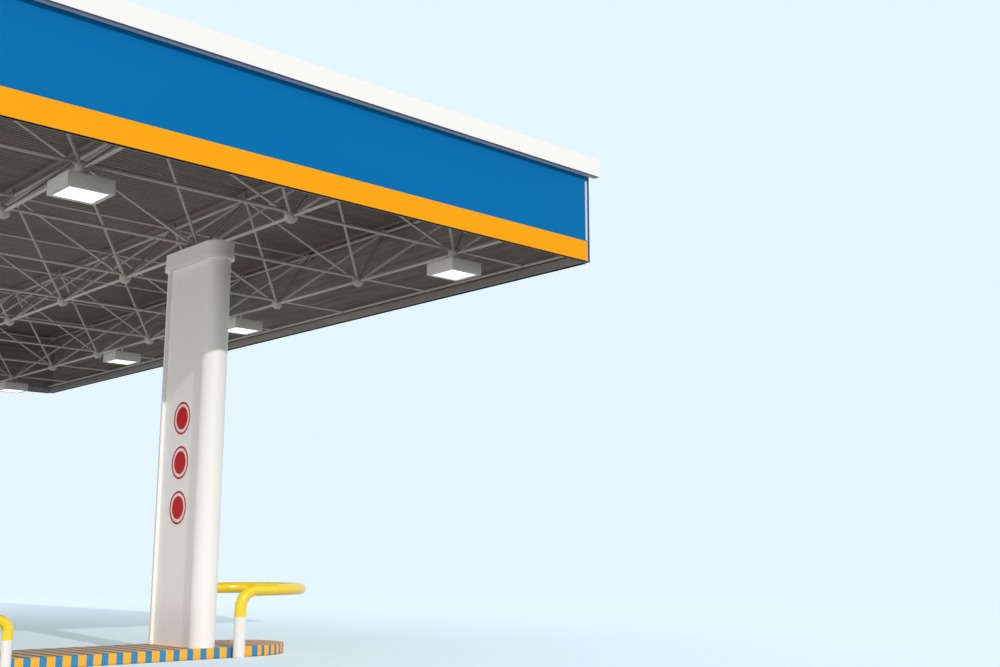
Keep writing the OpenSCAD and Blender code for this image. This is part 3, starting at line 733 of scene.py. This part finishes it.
def addShoulderWelds():
    # beads where the raised tubes meet the balls' shoulders and the side rails
    turns = [2 * math.pi * step / beadLook["steps"] for step in range(beadLook["steps"])]
    shapes = {}
    for kind, r in (("bottom", grid["chordRadius"]), ("strut", grid["webRadius"])):
        loop = []
        for t in turns:
            y, z = r * math.cos(t), grid["rise"] + r * math.sin(t)
            loop.append((math.sqrt(grid["ballRadius"] ** 2 - y ** 2 - z ** 2), y, z))
        shapes[kind] = beadAlong(loop, beadLook["radius"])
    r = grid["webRadius"]
    atRail = [(grid["railX"] - math.sqrt(grid["railRadius"] ** 2 - (r * math.sin(t)) ** 2), r * math.cos(t),
               r * math.sin(t)) for t in turns]
    railBead = beadAlong(atRail, beadLook["radius"])
    mirrored = np.array([-1, 1, 1])
    welds = []
    for i in range(grid["bottomX"]):
        for j in range(grid["bottomY"]):
            at = np.array(bottomBall(i, j))
            for side in (-1, 1):
                points, faces = shapes["strut" if i == (0 if side < 0 else grid["bottomX"] - 1) else "bottom"]
                welds.append(((points if side > 0 else points * mirrored) + at, faces))
    for j in range(grid["bottomY"]):
        at = np.array([0, bottomBall(0, j).y, grid["bottomZ"] + grid["rise"]])
        points, faces = railBead
        welds += [(points + at, faces), (points * mirrored + at, faces)]
    addPiece("shoulder_welds", joined(*welds), "frame_paint", sharp=60)


ends = barEnds()
addSleeves(ends)
addWelds(ends)
addShoulderWelds()
print("stage: sleeves and welds on", sum(len(group) for group in ends.values()), "bar ends")


plugLook = {"radius": 0.017, "height": 0.007, "chamfer": 0.003, "socket": 0.008, "socketFloor": 0.002,
            "socketTip": 0.4}


def addBallPlugs(lampBalls):
    # hexagon plugs that close the unused thread below each bottom ball
    r, h, s = plugLook["radius"], plugLook["height"], plugLook["socket"]
    cut, low = plugLook["chamfer"], plugLook["socketFloor"]
    shape = turned([(s * plugLook["socketTip"], low), (s, low), (s, h), (r - cut, h), (r, h - cut), (r, 0)], 6)
    places = []
    for i in range(grid["bottomX"]):
        for j in range(grid["bottomY"]):
            at = bottomBall(i, j)
            overColumn = (abs(at.x), abs(at.y)) == (grid["columnX"], grid["columnY"])
            if overColumn or (round(at.x, 2), round(at.y, 2)) in lampBalls:
                continue
            places.append((at - Vector((0, 0, grid["bottomSeat"])), (0, 0, -1)))
    addPiece("ball_plugs", repeated(shape, places), "frame_paint", sharp=25)


lamps = {
    "x": (-12.0, -6.0, 0.0, 6.0, 12.0),
    "y": (-8.75, -2.5, 2.5, 8.75),
    "under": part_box("lamp_bodies")[0].z,
    "side": 0.6,
    "height": 0.188,
    "rim": 0.046,
    "recess": 0.014,
    "bend": 0.004,
    "groove": 0.142,  # where the lid closes on the tray
    "seal": 0.004,  # rubber seal round the lens
    "sealGap": 0.0005,
    "sealThick": 0.003,
    "lensUp": 0.006,
    "edge": 0.001,
    "grooveDeep": 0.004,
    "grooveHigh": 0.005,
    "grooveSlope": 0.003,
    "screw": ((0.0055, 0), (0.0055, 0.001), (0.004, 0.0022), (0.001, 0.0025)),  # radius and height
    "collar": ((0.024, 0), (0.038, 0), (0.040, 0.002), (0.040, 0.010), (0.036, 0.014), (0.024, 0.016)),
    "fin": (0.36, 0.004, 0.022),
    "finBend": 0.05,  # as a share of the fin
    "finPitch": 0.03,
    "finRows": (-6, -5, -4, -3, 3, 4, 5, 6),
}


def squareRing(half, height, bend, steps=3):
    # rounded square about Z at one height
    points = []
    for cornerX, cornerY, start in ((1, 1, 0), (-1, 1, 90), (-1, -1, 180), (1, -1, 270)):
        for step in range(steps + 1):
            angle = math.radians(start + 90 * step / steps)
            points.append((cornerX * (half - bend) + bend * math.cos(angle),
                           cornerY * (half - bend) + bend * math.sin(angle),
                           height))
    return points


def lofted(rings):
    # skin over rings of the same number of points, closed at both ends
    size = len(rings[0])
    points = np.array([point for ring in rings for point in ring])
    faces = [tuple(reversed(range(size)))]
    for row in range(len(rings) - 1):
        here, above = row * size, (row + 1) * size
        for at in range(size):
            after = (at + 1) % size
            faces.append((here + at, here + after, above + after, above + at))
    faces.append(tuple(range((len(rings) - 1) * size, len(rings) * size)))
    return points, faces


def squareFrame(outer, inner, low, high):
    # flat square frame with mitred corners
    rings = [[(x * size, y * size, z) for x, y in ((1, 1), (-1, 1), (-1, -1), (1, -1))]
             for size, z in ((outer, low), (outer, high), (inner, high), (inner, low))]
    points = np.array([point for ring in rings for point in ring])
    faces = []
    for row in range(4):
        here, above = row * 4, (row + 1) % 4 * 4
        for at in range(4):
            after = (at + 1) % 4
            faces.append((here + at, here + after, above + after, above + at))
    return points, faces


def addLamps():
    half, high, rim, bend = lamps["side"] / 2, lamps["height"], lamps["rim"], lamps["bend"]
    edge, groove, deep, slope = lamps["edge"], lamps["groove"], lamps["grooveDeep"], lamps["grooveSlope"]
    lid = groove + lamps["grooveHigh"]
    rows = [(half - rim, lamps["recess"]), (half - rim, edge), (half - rim + edge, 0.0), (half - bend, 0.0),
            (half - edge, edge), (half, bend), (half, groove - slope), (half - deep, groove),
            (half - deep, lid), (half, lid + slope), (half, high - bend), (half - edge, high - edge),
            (half - bend, high)]
    housing = lofted([squareRing(size, height, bend) for size, height in rows])
    places = [(x, y, lamps["under"]) for x in lamps["x"] for y in lamps["y"]]
    up, down = (0, 0, 1), (0, 0, -1)
    addPiece("lamp_housings", repeated(housing, [(at, up) for at in places]), "lamp_white", sharp=30,
             stands="lamp_bodies")
    inset = half - rim / 2
    spots = [(a * inset, b * inset) for a in (-1, 0, 1) for b in (-1, 0, 1) if a or b]
    screwPlaces = [((x + a, y + b, z), down) for x, y, z in places for a, b in spots]
    addPiece("lamp_screws", repeated(turned(lamps["screw"], 12), screwPlaces), "saddle_grey")
    collarPlaces = [((x, y, z + high), up) for x, y, z in places]
    addPiece("lamp_collars", repeated(turned(lamps["collar"], 28, closed=True), collarPlaces), "lamp_white")
    outer, inner = half - rim - lamps["sealGap"], half - rim - lamps["seal"]
    seal = squareFrame(outer, inner, lamps["lensUp"] - lamps["sealThick"], lamps["lensUp"])
    addPiece("lamp_seals", repeated(seal, [(at, up) for at in places]), "lamp_white", mouldedRubberSeal())
    points, faces = lofted([squareRing(0.5, z, lamps["finBend"], 1) for z in (0.0, 1.0)])
    blade = points * np.array(lamps["fin"])
    finRows = [row * lamps["finPitch"] for row in lamps["finRows"]]
    finPlaces = [((x, y + row, z + high), up) for x, y, z in places for row in finRows]
    addPiece("lamp_fins", repeated((blade, faces), finPlaces), "lamp_white")


addBallPlugs({(x, y) for x in lamps["x"] for y in lamps["y"]})
addLamps()
print("stage: lamps and ball plugs")


fasciaEdge = {"cornerClear": 0.09, "lipThick": 0.003, "lipDown": 0.008, "panel": 0.04, "backThick": 0.038}


def block(low, high):
    # plain box between two corners
    outline = ((low[0], low[1]), (high[0], low[1]), (high[0], high[1]), (low[0], high[1]))
    points = np.array([(x, y, z) for z in (low[2], high[2]) for x, y in outline])
    return points, [(0, 1, 2, 3), (4, 5, 6, 7), (0, 1, 5, 4), (1, 2, 6, 5), (2, 3, 7, 6), (3, 0, 4, 7)]


def fourSides(outer, inset, thick, low, high):
    # upright strips along the four sides, each stopping at the corner posts
    runX, runY = outer.x - fasciaEdge["cornerClear"], outer.y - fasciaEdge["cornerClear"]
    faceX, faceY = outer.x - inset, outer.y - inset
    shapes = []
    for side in (-1, 1):
        shapes.append(block((-runX, side * faceY, low), (runX, side * (faceY - thick), high)))
        shapes.append(block((side * faceX, -runY, low), (side * (faceX - thick), runY, high)))
    return joined(*shapes)


def addLowerEdge():
    # thin dark lip that hangs below the panels, and the channels behind them, which end flush with them
    (trimLow, trimHigh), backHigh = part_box("fascia_trims"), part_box("fascia_backing")[1]
    lips = fourSides(trimHigh, 0, fasciaEdge["lipThick"], trimLow.z - fasciaEdge["lipDown"], trimHigh.z)
    addPiece("trim_lips", lips, "trim_navy", stands="fascia_trims")
    channels = fourSides(trimHigh, fasciaEdge["panel"], fasciaEdge["backThick"], trimHigh.z, backHigh.z)
    addPiece("backing_channels", channels, "backing_grey", stands="fascia_backing")


addLowerEdge()
print("stage: lower edge of the fascia")


screws = {"pitch": 0.2, "count": 101, "purlins": 10, "crownUp": 0.028, "fall": 0.01,
          "outline": ((0.011, -0.001), (0.011, 0.002), (0.0072, 0.003), (0.0062, 0.003), (0.0062, 0.008),
                      (0.0048, 0.0095))}  # radius and height of washer and head


def addRoofScrews():
    # washer-head screws through every second rib crown into each purlin
    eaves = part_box("roof_sheet_right")[0].z
    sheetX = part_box("roof_sheet_right")[1].x
    places = []
    for i in range(screws["purlins"]):
        x = (i - (screws["purlins"] - 1) / 2) * grid["bayX"]
        crown = eaves + (sheetX - abs(x)) * screws["fall"] + screws["crownUp"]
        for k in range(screws["count"]):
            places.append(((x, (k - (screws["count"] - 1) / 2) * screws["pitch"], crown), (0, 0, 1)))
    addPiece("roof_screws", repeated(turned(screws["outline"], 6), places), "flashing", sharp=25)


addRoofScrews()
print("stage: roof screws")


def stadiumRing(x0, x1, r, z, steps=40):
    points = []
    for centre, start in ((x1, -90), (x0, 90)):
        for step in range(steps + 1):
            angle = math.radians(start + 180 * step / steps)
            points.append((centre + r * math.cos(angle), r * math.sin(angle), z))
    return points


def addKerbs():
    # cast kerb with a rounded nosing, on the island's own outline
    r, h, nose, foot = island["width"] / 2, island["height"], island["nosing"], island["foot"]
    x0, x1 = r - island["inner"], island["outer"] - r
    rows = [(r - foot, 0.0), (r, foot)]
    for angle in (0, 22.5, 45, 67.5, 90):
        a = math.radians(angle)
        rows.append((r - nose + nose * math.cos(a), h - nose + nose * math.sin(a)))
    points, faces = lofted([stadiumRing(x0, x1, size, z) for size, z in rows])
    shapes = []
    for sx in (-1, 1):
        for sy in (-1, 1):
            column = np.array([sx * grid["columnX"], sy * grid["columnY"], 0])
            shapes.append((points * np.array([sx, 1, 1]) + column, faces))
    addPiece("kerbs", joined(*shapes), "island_paint", sharp=30, stands="islands")


addKerbs()
print("stage: kerbs")


signs = {"x": 8.86, "y": -6.22, "z": (3.44, 2.78, 2.12), "radius": 0.2485, "thick": 0.003, "print": 0.0008,
         "bevel": 0.0006,
         "flat": 0.985, "ring": (0.86, 0.985), "heart": 0.68}  # these three as shares of the radius


def flatRing(inner, outer, thick, sides=64):
    return turned([(inner, 0), (outer, 0), (outer, thick), (inner, thick)], sides, closed=True)


def addSigns():
    # three plain round plates, white with a red ring and heart, with no words or symbols
    r, thick, coat = signs["radius"], signs["thick"], signs["print"]
    way = (-1, 0, 0)
    places = [((signs["x"], signs["y"], z), way) for z in signs["z"]]
    flat, bevel = r * signs["flat"], signs["bevel"]
    disc = turned([(flat, 0), (r, bevel), (r, thick - bevel), (flat, thick)], 64)
    addPiece("sign_plates", repeated(disc, places), "column_white", printedWhitePlate())
    raised = [((signs["x"] - thick, signs["y"], z), way) for z in signs["z"]]
    ring = flatRing(r * signs["ring"][0], r * signs["ring"][1], coat)
    heart = turned([(r * signs["heart"], 0), (r * signs["heart"], coat)], 64)
    addPiece("sign_colours", joined(repeated(ring, raised), repeated(heart, raised)), "column_white",
             screenPrintedPlate())


addSigns()
print("stage: round plates on the near column")


# stage, light and camera

studio = {
    "background": "#E6F7FF",
    "floorShare": 0.72,  # of the floor's own colour that takes light and shadow
    "floorGlow": 0.36,  # the rest, as plain backdrop
    "floorBounce": "#94918C",  # what the floor sends back at the object, as paving does
    "skyTint": "#F4F8FF",
    "skyLevel": 0.76,
    "sunTint": "#FFFCF4",
    "sunLevel": 1.76,
    "sunAngle": 0.8,
    "boxTint": "#FFFEFC",
    "sunFrom": (-0.1452, -0.8860, 0.4401),
    "floorRadius": 160.0,
    "floorZ": -0.002,
    "fadeFrom": 19.0,
    "fadeTo": 42.0,
}
softBoxes = {
    # name: place, aim, width, height, watts
    "underFill": ((0.0, 0.0, 0.02), (0.0, 0.0, 6.0), 24.0, 17.0, 315.0),
    "lowLeft": ((-40.0, -4.0, 3.2), (9.0, 0.0, 4.0), 44.0, 6.2, 7550.0),
}


def seenRays(tree):
    # 1 for a ray from the camera, straight or by way of metal or glass
    rays = addNode(tree, "ShaderNodeLightPath").outputs
    return mathOf(tree, "MAXIMUM", mathOf(tree, "MAXIMUM", rays["Is Camera Ray"], rays["Is Glossy Ray"]),
                  rays["Is Transmission Ray"])


def addFloor():
    # pale floor that keeps the shadow and runs out into the background; it lights the object as paving would
    r = studio["floorRadius"]
    turns = [math.radians(a) for a in range(0, 360, 5)]
    points = [(r * math.cos(a), r * math.sin(a), studio["floorZ"]) for a in turns]
    mesh = bpy.data.meshes.new("floor")
    mesh.from_pydata(points, [], [tuple(range(len(points)))])
    material = bpy.data.materials.new("paleFloor")
    material.use_nodes = True
    tree = material.node_tree
    tree.nodes.clear()
    pale = linearColour(studio["background"])
    taking = addNode(tree, "ShaderNodeBsdfDiffuse", {"Color": dimmed(pale, studio["floorShare"])})
    glow = addNode(tree, "ShaderNodeEmission", {"Color": pale, "Strength": studio["floorGlow"]})
    near = addNode(tree, "ShaderNodeAddShader", None, {0: taking.outputs[0], 1: glow.outputs[0]})
    far = addNode(tree, "ShaderNodeEmission", {"Color": pale, "Strength": 1.0})
    bounce = addNode(tree, "ShaderNodeBsdfDiffuse", {"Color": linearColour(studio["floorBounce"])})
    place = addNode(tree, "ShaderNodeTexCoord").outputs["Object"]
    away = addNode(tree, "ShaderNodeVectorMath", {"operation": "LENGTH"}, {0: place}).outputs["Value"]
    span = {"interpolation_type": "SMOOTHSTEP", "From Min": studio["fadeFrom"], "From Max": studio["fadeTo"]}
    fade = addNode(tree, "ShaderNodeMapRange", span, {"Value": away}).outputs[0]
    shown = addNode(tree, "ShaderNodeMixShader", None, {0: fade, 1: near.outputs[0], 2: far.outputs[0]})
    parts = {0: seenRays(tree), 1: bounce.outputs[0], 2: shown.outputs[0]}
    mixed = addNode(tree, "ShaderNodeMixShader", None, parts)
    addNode(tree, "ShaderNodeOutputMaterial", None, {"Surface": mixed.outputs[0]})
    mesh.materials.append(material)
    floor = bpy.data.objects.new("floor", mesh)
    bpy.context.scene.collection.objects.link(floor)


def addWorld():
    world = bpy.data.worlds.new("studioWorld")
    bpy.context.scene.world = world
    world.use_nodes = True
    tree = world.node_tree
    tree.nodes.clear()
    sky, backdrop = linearColour(studio["skyTint"]), linearColour(studio["background"])
    soft = addNode(tree, "ShaderNodeBackground", {"Color": sky, "Strength": studio["skyLevel"]})
    pale = addNode(tree, "ShaderNodeBackground", {"Color": backdrop, "Strength": 1.0})
    parts = {0: seenRays(tree), 1: soft.outputs[0], 2: pale.outputs[0]}
    mixed = addNode(tree, "ShaderNodeMixShader", None, parts)
    addNode(tree, "ShaderNodeOutputWorld", None, {"Surface": mixed.outputs[0]})


def addSun():
    light = bpy.data.lights.new("keySun", "SUN")
    light.energy = studio["sunLevel"]
    light.angle = math.radians(studio["sunAngle"])
    light.color = linearColour(studio["sunTint"])[:3]
    sun = bpy.data.objects.new("keySun", light)
    sun.rotation_euler = Vector(studio["sunFrom"]).to_track_quat("Z", "Y").to_euler()
    bpy.context.scene.collection.objects.link(sun)


def addSoftBoxes():
    # large soft lamps that the camera doesn't see
    for name, (place, aim, width, height, watts) in softBoxes.items():
        light = bpy.data.lights.new(name, "AREA")
        light.shape = "RECTANGLE"
        light.size, light.size_y = width, height
        light.energy = watts
        light.color = linearColour(studio["boxTint"])[:3]
        lamp = bpy.data.objects.new(name, light)
        lamp.location = place
        lamp.rotation_euler = (Vector(aim) - Vector(place)).to_track_quat("-Z", "Y").to_euler()
        lamp.visible_camera = False
        lamp.visible_glossy = False
        bpy.context.scene.collection.objects.link(lamp)


view = {
    "place": (0.1778, -22.3751, 1.3336),
    "yaw": 0.7542,  # to the right of straight ahead
    "pitch": 0.1891,
    "lens": 43.0,
    "sensor": 36.0,
    "farthest": 500.0,
}


def addCamera():
    data = bpy.data.cameras.new("photoCamera")
    data.sensor_width = view["sensor"]
    data.sensor_fit = "HORIZONTAL"
    data.lens = view["lens"]
    data.clip_end = view["farthest"]
    camera = bpy.data.objects.new("photoCamera", data)
    camera.location = view["place"]
    camera.rotation_euler = (math.pi / 2 + view["pitch"], 0.0, -view["yaw"])
    bpy.context.scene.collection.objects.link(camera)
    bpy.context.scene.camera = camera


addFloor()
addWorld()
addSun()
addSoftBoxes()
addCamera()
bpy.context.scene.view_settings.view_transform = "Standard"
print("stage: floor, light and camera")
